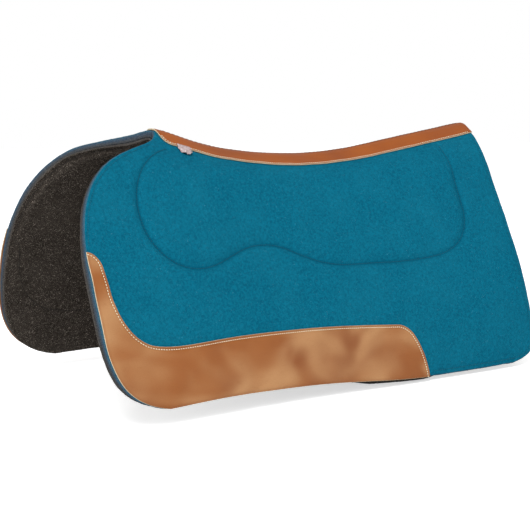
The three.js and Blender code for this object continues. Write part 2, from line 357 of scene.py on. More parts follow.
# Undulations of the faces: height, wavelength and seed of each.
OUTER_WAVES = ((0.8, 170, 10), (0.3, 50, 11))
LINING_WAVES = ((0.8, 190, 15), (0.35, 60, 16))
HIDE_WAVES = ((0.35, 60, 17), (0.12, 18, 18))
STRIP_WAVE = (0.15, 50, 77)
INSERT_WAVE = (0.07, 40, 5)
TAG_WAVES = ((1.4, 10, 91), (0.6, 5, 92))

quilting_depth = 3.4
padded_roll = 6.5
plain_roll = 4.5


def ripples(flat, wavelength, seed):
    """A smooth random undulation, mostly between -1 and 1."""
    waves = 14
    random = np.random.default_rng(seed)
    total = 0
    for _ in range(waves):
        heading = random.uniform(0, 2 * math.pi)
        across = flat[..., 0] * math.cos(heading) + flat[..., 1] * math.sin(heading)
        length = wavelength * random.uniform(0.7, 1.5)
        total = total + np.sin(2 * math.pi * across / length + random.uniform(0, 2 * math.pi))
    return total / math.sqrt(waves)


def undulation(flat, *waves, step=0):
    """The sum of several undulations; step changes their seeds."""
    return sum(height * ripples(flat, size, seed + step) for height, size, seed in waves)


def groove(distance, depth, width):
    return -depth * np.exp(-(distance / width)**2)


def spread(points, values):
    """Heights known at scattered flat points, averaged onto a raster."""
    cell = 4.0
    reach = 4.0
    low = points.min(0) - cell
    size = ((points.max(0) - low) / cell).astype(int) + 3
    raster = np.zeros(size)
    drops = low[1] + cell * np.arange(size[1])
    for i in range(size[0]):
        x = low[0] + i * cell
        near = np.abs(points[:, 0] - x) < 4 * reach
        gap = (points[near, 0] - x)**2 + (points[near, 1] - drops[:, None])**2
        weight = np.exp(-gap / (2 * reach**2)) + 1e-12
        raster[i] = (weight * values[near]).sum(1) / weight.sum(1)
    return Raster(low, cell, raster)


def unsigned(flat):
    return np.stack([flat[..., 0], np.abs(flat[..., 1])], -1)


def uneven(flat, waves):
    """Undulations that differ on the two halves."""
    return np.where(flat[..., 1] >= 0, undulation(flat, *waves), undulation(flat, *waves, step=10))


def inside(boundary, flat):
    """Whether each flat point lies within a closed curve."""
    x, drop = flat[..., 0], flat[..., 1]
    within = np.zeros(flat.shape[:-1], bool)
    for (x0, drop0), (x1, drop1) in zip(boundary, np.roll(boundary, -1, 0)):
        if drop0 != drop1:
            crosses = (drop0 > drop) != (drop1 > drop)
            within ^= crosses & (x < (x1 - x0) * (drop - drop0) / (drop1 - drop0) + x0)
    return within


def pocket_map():
    """1 inside the quilted pocket, 0 outside it."""
    low = pocket_outline.points.min(0) - MAP_CELL
    size = ((pocket_outline.points.max(0) - low) / MAP_CELL).astype(int) + 3
    spots = np.stack(np.meshgrid(*(low[k] + MAP_CELL * np.arange(size[k]) for k in (0, 1)),
                                 indexing="ij"), -1)
    return Raster(low, MAP_CELL, inside(pocket_outline.points[:-1], spots).astype(float))


pocket_share = pocket_map()


def pull_of_quilting(spot):
    """The quilting pulls less where it runs out under the strip."""
    return 0.3 + 0.7 * smooth(spot[..., 1], strip_half_width + 20, strip_half_width + 110)


def quilting(spot):
    """The felt rolls slowly down to the quilting from the padded side, and up again quickly."""
    away = quilt_line.distance(spot)
    padded = pocket_share(spot)
    roll = padded * groove(away, quilting_depth, padded_roll)
    roll += (1 - padded) * groove(away, quilting_depth, plain_roll)
    return roll * pull_of_quilting(spot)


def outer_relief(flat):
    """Height of the outer felt's face: it swells between the rows of stitches."""
    away = smooth(np.abs(flat[..., 1]), 4, 45)
    spot = unsigned(flat)
    height = puff(spot)
    height += away * uneven(flat, OUTER_WAVES)
    height += quilting(spot)
    height += groove(front_row.distance(spot), 0.6, 3.0)
    height += groove(rear_row.distance(spot), 0.4, 3.5)
    height += groove(perimeter.distance(spot), 0.6, 3.5)
    return height


def inner_relief(flat):
    """How far the lining stands out, towards the horse."""
    away = smooth(np.abs(flat[..., 1]), 4, 45)
    spot = unsigned(flat)
    height = 0.35 * puff(spot)
    height += away * uneven(flat, LINING_WAVES)
    # The front edge is pinched where it curves over the withers.
    pinched = (1 - smooth(spot[..., 1], 190, 260)) * (1 - smooth(flat[..., 0], -180, -120))
    height -= 3.5 * pinched * (1 - smooth(perimeter.distance(spot), 2, FAR))
    height += groove(quilt_line.distance(spot), 0.8, 3.0)
    height += groove(edge_row.distance(spot), 1.1, 3.0)
    height += groove(perimeter.distance(spot), 0.5, 4.0)
    return height


# ---- Closed sheets ----

class Shape:
    """Vertices in metres, faces, the material number of each face, and values kept at vertices."""

    def __init__(self, vertices, faces, finish, values=None):
        self.vertices = vertices
        self.faces = faces
        self.finish = finish
        self.values = values or {}


def loop_of(rows, columns):
    """Vertex numbers round the border of a grid."""
    number = np.arange(rows * columns).reshape(rows, columns)
    return np.concatenate([number[0], number[1:, -1], number[-1, -2::-1], number[-2:0:-1, 0]])


def outward_of(loop):
    """The flat direction out of a closed border, at each of its points."""
    along = np.roll(loop, -1, 0) - np.roll(loop, 1, 0)
    along /= np.linalg.norm(along, axis=1, keepdims=True)
    outward = np.stack([along[:, 1], -along[:, 0]], -1)
    x, drop = loop[:, 0], loop[:, 1]
    area = (x * np.roll(drop, -1) - np.roll(x, -1) * drop).sum()
    return outward * np.sign(area)


def patch(top, bottom, left, right, columns, rows, inset=0.0):
    """A flat grid between four curves, its border moved in by inset."""
    u = np.linspace(0, 1, columns)
    v = np.linspace(0, 1, rows)
    loop = np.vstack([top.at(u), right.at(v)[1:], bottom.at(u)[-2::-1], left.at(v)[-2:0:-1]])
    loop = loop - inset * outward_of(loop)
    corner = np.cumsum([0, columns - 1, rows - 1, columns - 1])
    top = loop[corner[0]:corner[1] + 1]
    right = loop[corner[1]:corner[2] + 1]
    bottom = loop[corner[2]:corner[3] + 1][::-1]
    left = np.vstack([loop[corner[3]:], loop[:1]])[::-1]
    u = u[None, :, None]
    v = v[:, None, None]
    across = (1 - v) * top[None] + v * bottom[None]
    along = (1 - u) * left[:, None] + u * right[:, None]
    top_corners = (1 - u) * top[0] + u * top[-1]
    bottom_corners = (1 - u) * bottom[0] + u * bottom[-1]
    return across + along - ((1 - v) * top_corners + v * bottom_corners)


def half_grid(lower_edge, columns, rows, inset=0.0):
    """A flat grid over the whole of a half."""
    return patch(ridge, lower_edge, front_edge, rear_edge.reversed(), columns, rows, inset)


CORNER_RINGS = 3


def rounded_rim(radius, thickness, walls, upper=None, lower=None):
    """Outset and share of the depth of each ring between the two faces of a sheet.

    The radius is how far the rounding reaches in from the edge; upper and lower are how far it
    reaches down from each face, where that is different.
    """
    turn = np.linspace(0, math.pi / 2, CORNER_RINGS + 1)[1:]
    outset = radius * np.sin(turn)
    above = (upper or radius) * (1 - np.cos(turn)) / thickness
    below = (lower or radius) * (1 - np.cos(turn)) / thickness
    wall = np.linspace(above[-1], 1 - below[-1], walls + 1)[1:-1]
    outset = np.concatenate([outset, np.full(len(wall), radius), outset[::-1]])
    depth = np.concatenate([above, wall, 1 - below[::-1]])
    return list(zip(outset, depth))


def closed_sheet(flat, high, low, rim, ragged=None, faced=(1, 1)):
    """A sheet with two faces over a flat grid and rings of vertices round its rim.

    Face finish is 0, rim finish is 1; faced says how many rings of the rim next to the upper and
    the lower face have the finish of the face. The value "edge" is the distance to the border,
    and the value "depth" goes from 0 at the outer face to 1 at the inner face.
    """
    rows, columns = flat.shape[:2]
    count = rows * columns
    border = loop_of(rows, columns)
    loop = flat.reshape(-1, 2)[border]
    outward = outward_of(loop)
    high_loop = high.reshape(-1)[border]
    low_loop = low.reshape(-1)[border]
    layers = [drape(flat, high).reshape(-1, 3)]
    for outset, share in rim:
        reach = outset
        if ragged is not None:
            reach = outset + ragged(loop, share) * np.sin(math.pi * share)
        ring = loop + outward * np.reshape(reach, (-1, 1))
        layers.append(drape(ring, high_loop + (low_loop - high_loop) * share))
    layers.append(drape(flat, low).reshape(-1, 3))

    number = np.arange(count).reshape(rows, columns)
    quads = np.stack([number[:-1, :-1], number[1:, :-1], number[1:, 1:], number[:-1, 1:]], -1)
    quads = quads.reshape(-1, 4)
    back = count + len(rim) * len(border)
    rings = [border] + [count + k * len(border) + np.arange(len(border)) for k in range(len(rim))]
    rings.append(back + border)
    walls = []
    for upper, lower in zip(rings, rings[1:]):
        walls.append(np.stack([upper, np.roll(upper, -1), np.roll(lower, -1), lower], -1))
    walls = np.vstack(walls)
    faces = np.vstack([quads, quads[:, ::-1] + back, walls])
    finish = np.concatenate([np.zeros(2 * len(quads), int), np.ones(len(walls), int)])
    upper, lower = (rings * len(border) for rings in faced)
    finish[2 * len(quads):2 * len(quads) + upper] = 0
    finish[len(finish) - lower:] = 0
    away = Path(np.vstack([loop, loop[:1]])).distance(flat).reshape(-1)
    edge = np.concatenate([away, np.zeros(len(rim) * len(border)), away])
    depth = np.repeat([0.0] + [share for _, share in rim] + [1.0],
                      [count] + [len(border)] * len(rim) + [count])
    return Shape(np.vstack(layers), faces, finish, {"edge": edge, "depth": depth})


def outward_faces(shape):
    """Turns all faces round if the shape is inside out."""
    a, b, c, d = (shape.vertices[shape.faces[:, k]] for k in range(4))
    volume = (a * np.cross(b, c)).sum() + (a * np.cross(c, d)).sum()
    if volume < 0:
        shape.faces = shape.faces[:, ::-1]
    return shape


# ---- Cloth: how the felt swells between its stitches ----

def held_share(flat):
    """How firmly stitches, edges and the strip hold the felt at each flat point."""
    held = 0
    for row, grip in ((quilt_line, 5), (edge_row, 5), (perimeter, 7), (wear_row, 5)):
        held = np.maximum(held, 1 - smooth(row.distance(flat), 0.4 * grip, 1.6 * grip))
    return np.maximum(held, 1 - smooth(flat[..., 1], strip_half_width, strip_half_width + 8))


CLOTH_COLUMNS = 120
CLOTH_ROWS = 70
CLOTH_FRAMES = 20
WOOL_GRIP = 0.2
HIGHEST_SWELL = 4.0


def cloth_swell():
    """Inflates a closed half of felt under light pressure; gives its outer face's rise in mm.

    Pressed wool isn't hollow, so its fibres hold the face back everywhere, by WOOL_GRIP.
    """
    flat = half_grid(hem, CLOTH_COLUMNS, CLOTH_ROWS)
    high = np.zeros(flat.shape[:2])
    shape = outward_faces(closed_sheet(flat, high, high - outer_felt, [(0.0, 0.5)]))
    mesh = bpy.data.meshes.new("swelling")
    mesh.from_pydata(shape.vertices.tolist(), [], shape.faces.tolist())
    cloth_object = bpy.data.objects.new("swelling", mesh)
    bpy.context.scene.collection.objects.link(cloth_object)
    count = CLOTH_ROWS * CLOTH_COLUMNS
    held = np.ones(len(shape.vertices))
    held[:count] = np.maximum(held_share(flat).reshape(-1), WOOL_GRIP)
    group = cloth_object.vertex_groups.new(name="held")
    for number, share in enumerate(held):
        group.add([number], float(share), "REPLACE")
    modifier = cloth_object.modifiers.new("cloth", "CLOTH")
    settings = modifier.settings
    settings.quality = 6
    settings.mass = 0.4
    for kind, stiffness in (("tension", 25), ("compression", 25), ("shear", 10), ("bending", 3)):
        setattr(settings, f"{kind}_stiffness", stiffness)
    settings.use_pressure = True
    settings.uniform_pressure_force = 4
    settings.vertex_group_mass = "held"
    settings.effector_weights.gravity = 0
    modifier.collision_settings.use_collision = False
    modifier.point_cache.frame_start = 1
    modifier.point_cache.frame_end = CLOTH_FRAMES
    scene = bpy.context.scene
    for number in range(1, CLOTH_FRAMES + 1):
        scene.frame_set(number)
    result = cloth_object.evaluated_get(bpy.context.evaluated_depsgraph_get()).to_mesh()
    moved = np.empty(len(shape.vertices) * 3)
    result.vertices.foreach_get("co", moved)
    moved = moved.reshape(-1, 3)[:count] / MM
    scene.frame_set(1)
    bpy.data.objects.remove(cloth_object)
    start = drape(flat, high).reshape(-1, 3) / MM
    normal = drape(flat, high + 1).reshape(-1, 3) / MM - start
    rise = np.clip(((moved - start) * normal).sum(1), 0, HIGHEST_SWELL)
    return flat.reshape(-1, 2), rise


puff = spread(*cloth_swell())


# ---- Materials ----

def shade(red, green, blue):
    """A colour given as 0-255 screen values, as the linear colour that nodes take."""
    values = [v / 255 for v in (red, green, blue)]
    linear = [v / 12.92 if v <= 0.04045 else ((v + 0.055) / 1.055)**2.4 for v in values]
    return (*linear, 1.0)


class Look:
    """A node material; each method adds one node and gives back its output."""

    def __init__(self, name, roughness, specular=0.3):
        self.material = bpy.data.materials.new(name)
        self.material.use_nodes = True
        self.tree = self.material.node_tree
        self.skin = self.tree.nodes["Principled BSDF"]
        self.skin.inputs["Roughness"].default_value = roughness
        self.skin.inputs["Specular IOR Level"].default_value = specular
        self.place = self.add("ShaderNodeTexCoord").outputs["Object"]
        self.height = None

    def add(self, kind, settings=None, inputs=None):
        node = self.tree.nodes.new(kind)
        for key, value in (settings or {}).items():
            setattr(node, key, value)
        for key, value in (inputs or {}).items():
            self.feed(node.inputs[key], value)
        return node

    def feed(self, socket, value):
        if isinstance(value, bpy.types.NodeSocket):
            self.tree.links.new(value, socket)
        else:
            socket.default_value = value

    def stretched(self, x, y, z, turn=0.0):
        mapping = {"Vector": self.place, "Scale": (x, y, z), "Rotation": (turn, turn, turn)}
        return self.add("ShaderNodeMapping", None, mapping).outputs["Vector"]

    def noise(self, size_mm, detail=4.0, roughness=0.55, distortion=0.0, at=None):
        inputs = {"Vector": at or self.place, "Scale": 1 / (size_mm * MM), "Detail": detail,
                  "Roughness": roughness, "Distortion": distortion}
        return self.add("ShaderNodeTexNoise", None, inputs).outputs["Fac"]

    def cells(self, size_mm, feature="F1", at=None):
        inputs = {"Vector": at or self.place, "Scale": 1 / (size_mm * MM)}
        return self.add("ShaderNodeTexVoronoi", {"feature": feature}, inputs).outputs["Distance"]

    def value(self, name):
        return self.add("ShaderNodeAttribute", {"attribute_name": name}).outputs["Fac"]

    def range(self, value, low, high, to_low=0.0, to_high=1.0):
        inputs = {"Value": value, "From Min": low, "From Max": high,
                  "To Min": to_low, "To Max": to_high}
        settings = {"interpolation_type": "SMOOTHSTEP"}
        return self.add("ShaderNodeMapRange", settings, inputs).outputs["Result"]

    def sum(self, a, b, operation="ADD"):
        return self.add("ShaderNodeMath", {"operation": operation}, {0: a, 1: b}).outputs[0]

    def mix(self, share, a, b):
        inputs = {0: share, 6: a, 7: b}
        return self.add("ShaderNodeMix", {"data_type": "RGBA"}, inputs).outputs[2]

    def bump(self, value, depth_mm):
        inputs = {"Height": value, "Distance": depth_mm * MM}
        if self.height is not None:
            inputs["Normal"] = self.height
        self.height = self.add("ShaderNodeBump", None, inputs).outputs["Normal"]

    def finish(self, color, roughness=None):
        self.feed(self.skin.inputs["Base Color"], color)
        if roughness is not None:
            self.feed(self.skin.inputs["Roughness"], roughness)
        if self.height is not None:
            self.feed(self.skin.inputs["Normal"], self.height)
        return self.material


def wool(look, dark, middle, light, fleck, fleck_share):
    """Colour of pressed wool: matted fibres at several scales, a few flecks of another colour."""
    cloudy = 0.12
    tufts = look.noise(3.2, 5, 0.72, 0.6)
    fibres = look.noise(0.9, 3, 0.7, 1.5, look.stretched(1, 1, 0.45, 0.5))
    patches = look.noise(60, 3, 0.5)
    color = look.mix(look.range(tufts, 0.32, 0.68), dark, middle)
    color = look.mix(look.range(fibres, 0.5, 0.78, 0, 0.55), color, light)
    color = look.mix(look.range(patches, 0.3, 0.75, 0, cloudy), color, light)
    specks = look.noise(1.5, 2, 0.5, 2.5, look.stretched(0.55, 1, 1, 0.7))
    color = look.mix(look.range(specks, 1 - fleck_share, 1.06 - fleck_share), color, fleck)
    look.bump(tufts, 0.5)
    look.bump(fibres, 0.35)
    return color


def felt_look(name, dark, middle, light, fleck, fleck_share):
    """Felt, darkened along the quilting by painted shade in its crease."""
    look = Look(name, 0.95, 0.05)
    color = wool(look, dark, middle, light, fleck, fleck_share)
    return look.finish(look.mix(look.range(look.value("crease_shade"), 0, 1, 0, 0.6), color, dark))


def cut_felt_look(name, outer, middle, inner, middle_depth):
    """The cut edge of a felt: its colour changes through the thickness, partly as painted shade,
    and the cut is rough.
    """
    look = Look(name, 0.95, 0.05)
    depth = look.sum(look.value("depth"), look.range(look.noise(4), 0.2, 0.8, -0.12, 0.12))
    color = look.mix(look.range(depth, 0.1, middle_depth), outer, middle)
    color = look.mix(look.range(depth, middle_depth, 0.85), color, inner)
    fibres = look.noise(0.8, 4, 0.7, 1.0, look.stretched(1, 1, 0.6, 0.4))
    fluff = shade(150, 150, 146)
    # painted shade: this near-black colour darkens the low spots of the rough cut
    pit_shade = shade(18, 18, 20)
    color = look.mix(look.range(fibres, 0.35, 0.75, 0, 0.35), color, fluff)
    color = look.mix(look.range(fibres, 0.5, 0.25, 0, 0.5), color, pit_shade)
    look.bump(fibres, 0.5)
    return look.finish(color)


def leather_look(name, dark, middle, light, burnish, gloss, shift=0.0):
    """Pull-up leather: broad marks, fine pores and grain, a burnished border."""
    look = Look(name, gloss, 0.3)
    marks = look.noise(120, 1, 0.4, 0.3, look.stretched(1, 1, 1.4, shift))
    spots = look.noise(70, 1, 0.4, 0.5, look.stretched(1, 1, 1.5, shift))
    grain = look.cells(1.1, "SMOOTH_F1", look.stretched(1, 0.8, 1, 0.3))
    creases = look.noise(7, 5, 0.6, 0.8, look.stretched(0.5, 1, 1.6, 0.2))
    color = look.mix(look.range(marks, 0.28, 0.62), dark, middle)
    color = look.mix(look.range(spots, 0.3, 0.8, 0, 0.9), color, light)
    color = look.mix(look.range(creases, 0.55, 0.8, 0, 0.2), color, dark)
    color = look.mix(look.range(look.value("edge"), 0.5, 4.0, 0.3, 0.0), color, burnish)
    color = look.mix(look.range(grain, 0.0, 0.5, 0.16, 0.0), color, dark)
    look.bump(grain, 0.12)
    look.bump(creases, 0.25)
    sheen = look.range(spots, 0.3, 0.8, gloss - 0.07, gloss + 0.1)
    return look.finish(color, sheen)


def raw_edge_look(name, base, light):
    """The cut edge of leather: pale, fibrous layers."""
    look = Look(name, 0.8, 0.2)
    layers = look.noise(0.5, 3, 0.6, 0.4, look.stretched(0.15, 0.15, 1))
    look.bump(layers, 0.15)
    return look.finish(look.mix(look.range(layers, 0.35, 0.7), base, light))


def thread_look(name, base, dark):
    """Twisted thread: slanted strands along each stitch."""
    twist = 7.0
    look = Look(name, 0.6, 0.2)
    turn = look.sum(look.value("strand"), twist, "MULTIPLY")
    ply = look.range(look.sum(turn, 0.0, "SINE"), -1, 1)
    look.bump(ply, 0.12)
    return look.finish(look.mix(ply, dark, base))


def foam_look(name, base, light):
    look = Look(name, 0.9, 0.2)
    pores = look.cells(1.6)
    look.bump(pores, 0.4)
    return look.finish(look.mix(look.range(pores, 0.1, 0.6), base, light))


teal_felt = felt_look("teal_felt_look", shade(2, 78, 102), shade(6, 104, 130),
                      shade(28, 128, 152), shade(84, 156, 174), 0.3)
charcoal_felt = felt_look("charcoal_felt_look", shade(26, 23, 20), shade(58, 52, 47),
                          shade(98, 91, 83), shade(150, 140, 130), 0.38)
# painted shade: the cut edge turns from teal to slate towards the inner face, for the shadow of
# the leather's overhang and the shade on the cut; nearest the inner face it is grey
teal_cut = cut_felt_look("teal_felt_cut", shade(9, 76, 100), shade(28, 54, 76),
                         shade(36, 42, 50), 0.45)
# partly painted shade: these colours are darker than the lining's own, for the shade on its cut
# edge
charcoal_cut = cut_felt_look("charcoal_felt_cut", shade(40, 39, 41), shade(50, 44, 41),
                             shade(48, 42, 38), 0.4)
tan_leather = leather_look("tan_leather_look", shade(126, 66, 20), shade(143, 82, 31),
                           shade(180, 134, 89), shade(126, 70, 27), 0.5, 1.1)
russet_leather = leather_look("russet_leather_look", shade(128, 60, 8), shade(144, 70, 12),
                              shade(158, 82, 20), shade(134, 62, 8), 0.55)
raw_edge = raw_edge_look("raw_edge_look", shade(176, 158, 126), shade(212, 200, 174))
cream_thread = thread_look("cream_thread_look", shade(255, 250, 228), shade(222, 208, 174))
russet_thread = thread_look("russet_thread_look", shade(128, 62, 16), shade(92, 42, 10))
teal_thread = thread_look("teal_thread_look", shade(5, 98, 122), shade(3, 84, 106))
# teal thread, darker than the edge thread partly as painted shade of the quilting's crease
quilting_thread = thread_look("quilting_thread_look", shade(4, 84, 106), shade(2, 68, 86))
charcoal_thread = thread_look("charcoal_thread_look", shade(44, 40, 38), shade(26, 24, 22))
insert_foam = foam_look("insert_foam_look", shade(58, 62, 66), shade(92, 96, 100))
tag_face = raw_edge_look("tag_leather_look", shade(150, 128, 126), shade(204, 190, 190))


# ---- Making a piece ----

FOLD_REACH = 50  # pieces that reach this close to the ridge are not put on a body


def publish(name, shape, looks, node, body):
    """Makes a piece that stands for a CAD node and hides that node; a piece near the ridge stays
    where it is, others ride a body.
    """
    shape = outward_faces(shape)
    mesh = bpy.data.meshes.new(name)
    mesh.from_pydata(shape.vertices.tolist(), [], shape.faces.tolist())
    for look in looks:
        mesh.materials.append(look)
    mesh.polygons.foreach_set("material_index", shape.finish.astype(np.int32))
    mesh.polygons.foreach_set("use_smooth", np.ones(len(shape.faces), bool))
    for key, values in shape.values.items():
        attribute = mesh.attributes.new(key, "FLOAT", "POINT")
        attribute.data.foreach_set("value", values.astype(np.float32))
    mesh.update()
    piece = bpy.data.objects.new(name, mesh)
    bpy.context.scene.collection.objects.link(piece)
    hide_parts(node)
    if np.abs(shape.vertices[:, 1]).min() < FOLD_REACH * MM:
        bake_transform(piece)
    else:
        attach(piece, body)
    return piece


def publish_on_half(half, node, ending, shape, looks):
    """Publishes a piece of one half, named after its node."""
    publish(f"{half}_{node}_{ending}", shape, looks, f"{half}_{node}", f"{half}_half")


def on_half(flat, way):
    """Flat points of the left half, moved to the half whose sign is given."""
    return flat * np.array([1, way])


# ---- Felts and inserts ----

def pocket_depth(flat):
    """How much of the recess for the insert is cut at each flat point, from 0 to 1."""
    spot = unsigned(flat)
    from_quilting = pocket_share(spot) * pocket_outline.distance(spot)
    return smooth(from_quilting, 1.5, 6.5)


def felt_edge(seed):
    """A cut felt edge is a little uneven, except where the halves meet at the ridge."""
    def ragged(loop, share):
        free = smooth(np.abs(loop[:, 1]), 2, 12)
        level = seed + int(10 * share)
        return free * (0.35 * ripples(loop, 26, level) + 0.18 * ripples(loop, 7, level + 50))
    return ragged


def fuzz(size, amount, seed):
    """Small random heights, one to each point of a grid."""
    return np.random.default_rng(seed).normal(0, amount, size)


def outer_felt_cloth(half, way):
    radius = 2.4
    flat = half_grid(hem, 281, 157, radius)
    flat = on_half(flat, way)
    high = outer_relief(flat) + fuzz(flat.shape[:2], 0.07, 31 + way)
    low = -outer_felt + (insert_thickness + clearance) * pocket_depth(flat)
    rim = rounded_rim(radius, outer_felt, 5, lower=0.6)
    shape = closed_sheet(flat, high, low, rim, felt_edge(60 + way), (1, 0))
    spot = unsigned(flat)
    # painted shade: a value that darkens the felt along the quilting line, for the shade in its
    # crease
    crease_width = 3.0
    crease_shade = -groove(quilt_line.distance(spot), 1, crease_width) * pull_of_quilting(spot)
    shape.values["crease_shade"] = np.zeros(len(shape.vertices))
    shape.values["crease_shade"][:crease_shade.size] = crease_shade.reshape(-1)
    publish_on_half(half, "outer_felt", "cloth", shape, [teal_felt, teal_cut])


def inner_felt_cloth(half, way):
    radius = 1.8
    flat = half_grid(inner_hem, 241, 137, radius)
    flat = on_half(flat, way)
    high = np.full(flat.shape[:2], -outer_felt - clearance)
    low = inner_face - inner_relief(flat) - fuzz(flat.shape[:2], 0.08, 41 + way)
    rim = rounded_rim(radius, inner_felt, 4, upper=0.6)
    shape = closed_sheet(flat, high, low, rim, felt_edge(80 + way), (0, CORNER_RINGS - 1))
    looks = [charcoal_felt, charcoal_cut]
    publish_on_half(half, "inner_felt", "cloth", shape, looks)


def insert_pad(half, way):
    radius = 2.0
    margin = 10  # from the quilting
    flat = patch(quilt_top, quilt_bottom, quilt_front, quilt_rear.reversed(),
                 181, 61, margin + radius)
    flat = on_half(flat, way)
    low = np.full(flat.shape[:2], -outer_felt + clearance / 2)
    share = 1 - INSERT_WAVE[0] + undulation(flat, INSERT_WAVE)
    high = low + (insert_thickness - 0.3) * share
    shape = closed_sheet(flat, high, low, rounded_rim(radius, insert_thickness, 2))
    publish_on_half(half, "insert", "pad", shape, [insert_foam, insert_foam])


# ---- Leathers ----

LEATHER_SEAT = 0.45  # gap between felt and leather
HIDE_ROUNDING = 0.7


def hide_top(flat, unevenness, row, depth):
    """Height of a leather's outer face, with a groove of some depth along its row of stitches."""
    height = outer_relief(flat) + LEATHER_SEAT + leather + unevenness
    return height + groove(row.distance(unsigned(flat)), depth, 1.8)


def hide_sheet(flat, high):
    low = outer_relief(flat) + LEATHER_SEAT
    return closed_sheet(flat, high, low, rounded_rim(HIDE_ROUNDING, leather, 2))


def wear_top(flat):
    return hide_top(flat, uneven(flat, HIDE_WAVES), wear_row, 0.7)


LEG_OVERHANG = {"left": -1.2, "right": 1.5}  # of the leather's leg, past the felt's edge


def wear_leather_hide(half, way):
    hem_side = perimeter.part(leg_top, toe)
    proud = LEG_OVERHANG[half] * (1 - smooth(hem_side.points[:, 0], front + 30, front + 110))
    proud *= smooth(hem_side.points[:, 1], leg_top_drop, leg_top_drop + 40)
    way_in = hem_side.direction(hem_side.along / hem_side.length)
    outward = np.stack([-way_in[:, 1], way_in[:, 0]], -1)
    hem_side = Path(hem_side.points + outward * proud[:, None])
    flat = patch(wear_upper, hem_side, shoulder_bend.reversed(), toe_bend,
                 361, 41, HIDE_ROUNDING)
    flat = on_half(flat, way)
    shape = hide_sheet(flat, wear_top(flat))
    publish_on_half(half, "wear_leather", "hide", shape, [tan_leather, raw_edge])


def spine_top(flat):
    return hide_top(flat, undulation(flat, STRIP_WAVE), spine_row, 0.6)


def spine_leather_hide():
    tail_start = rear_edge.where(lambda p: p[:, 1] < strip_half_width)
    tail = rear_edge.part(tail_start, 1)
    tail_points = np.vstack([tail.points, (tail.points * (1, -1))[::-1]]) - (1.5, 0)
    tip = Path([(strip_front, -3), (strip_front - 0.3, 0), (strip_front, 3)])
    far_edge = Path(strip_edge.points * (1, -1))
    flat = patch(far_edge, strip_edge, tip, Path(tail_points[::-1]), 281, 41, HIDE_ROUNDING)
    shape = hide_sheet(flat, spine_top(flat))
    publish("spine_leather_hide", shape, [russet_leather, raw_edge],
            "spine_leather", "right_half")


# ---- Stitches ----

STITCH_PITCH = 3.5
STITCH_LENGTH = 2.4
THREAD = 1.05

# One stitch from end to end: the place along it as a share of its length, and its girth and rise
# as shares of the thread's thickness.
STITCH_FORM = [(-0.5, 0.35, -0.9), (-0.42, 0.8, -0.35), (-0.2, 1.0, 0.1),
               (0.2, 1.0, 0.1), (0.42, 0.8, -0.35), (0.5, 0.35, -0.9)]
STITCH_SIDES = 6


def stitch_shape(starts, ends, surface, outward=1, thread=THREAD):
    """Closed stitches between pairs of flat points, lying on a surface."""
    along = ends - starts
    aside = np.stack([along[:, 1], -along[:, 0]], -1)
    aside = aside / np.linalg.norm(aside, axis=1, keepdims=True)
    middle = (starts + ends) / 2
    base = surface(middle)
    rings = []
    strands = []
    for share, girth, rise in STITCH_FORM:
        for k in range(STITCH_SIDES):
            turn = 2 * math.pi * k / STITCH_SIDES
            flat = middle + along * share + aside * (0.5 * thread * girth * math.cos(turn))
            height = thread * (0.4 + rise + 0.5 * girth * math.sin(turn))
            rings.append(drape(flat, base + outward * height))
            strands.append(np.full(len(middle), 3.0 * share + k / STITCH_SIDES))
    vertices = np.stack(rings, 1)
    strand = np.stack(strands, 1)
    count = len(STITCH_FORM) * STITCH_SIDES
    side = np.arange(STITCH_SIDES)
    quads = []
    for ring in range(len(STITCH_FORM) - 1):
        a = ring * STITCH_SIDES + side
        b = ring * STITCH_SIDES + np.roll(side, -1)
        quads.append(np.stack([a, b, b + STITCH_SIDES, a + STITCH_SIDES], -1))
    for first, way in ((0, -1), (count - STITCH_SIDES, 1)):
        cap = [(0, 1, 2, 3), (0, 3, 4, 5)]
        quads.append(first + np.array(cap)[:, ::way])
    quads = np.vstack(quads)
    faces = (quads[None] + count * np.arange(len(middle))[:, None, None]).reshape(-1, 4)
    vertices = vertices.reshape(-1, 3)
    return Shape(vertices, faces, np.zeros(len(faces), int), {"strand": strand.reshape(-1)})


def merged(*shapes):
    """Several lots of stitches as one shape."""
    shapes = [outward_faces(shape) for shape in shapes]
    starts = np.cumsum([0] + [len(shape.vertices) for shape in shapes])
    vertices = np.vstack([shape.vertices for shape in shapes])
    faces = np.vstack([shape.faces + start for shape, start in zip(shapes, starts)])
    finish = np.concatenate([shape.finish for shape in shapes])
    strand = np.concatenate([shape.values["strand"] for shape in shapes])
    return Shape(vertices, faces, finish, {"strand": strand})


def row_ends(row, way, seed):
    """Start and end of each stitch along a row."""
    count = int(row.length / STITCH_PITCH)
    centre = (np.arange(count) + 0.5) / count
    random = np.random.default_rng(seed)
    reach = STITCH_LENGTH / 2 * random.uniform(0.92, 1.05, count)
    yaw = np.radians(random.normal(4, 2.5, count))
    heading = row.direction(centre)
    turned = np.stack([heading[:, 0] * np.cos(yaw) - heading[:, 1] * np.sin(yaw),
                       heading[:, 0] * np.sin(yaw) + heading[:, 1] * np.cos(yaw)], -1)
    middle = row.at(centre)
    starts = middle - turned * reach[:, None]
    ends = middle + turned * reach[:, None]
    return on_half(starts, way), on_half(ends, way)


def lining_face(flat):
    return inner_face - inner_relief(flat)


def lockstitches(starts, ends, surface, thread=THREAD):
    """One thread on top, the other seen on the lining."""
    top = stitch_shape(starts, ends, surface, thread=thread)
    under = stitch_shape(starts, ends, lining_face, outward=-1, thread=thread)
    under.finish[:] = 1
    return merged(top, under)


def stitches(name, row, surface, half, way, look, node, seed):
    shape = lockstitches(*row_ends(row, way, seed), surface)
    publish(name, shape, [look, charcoal_thread], node, f"{half}_half")


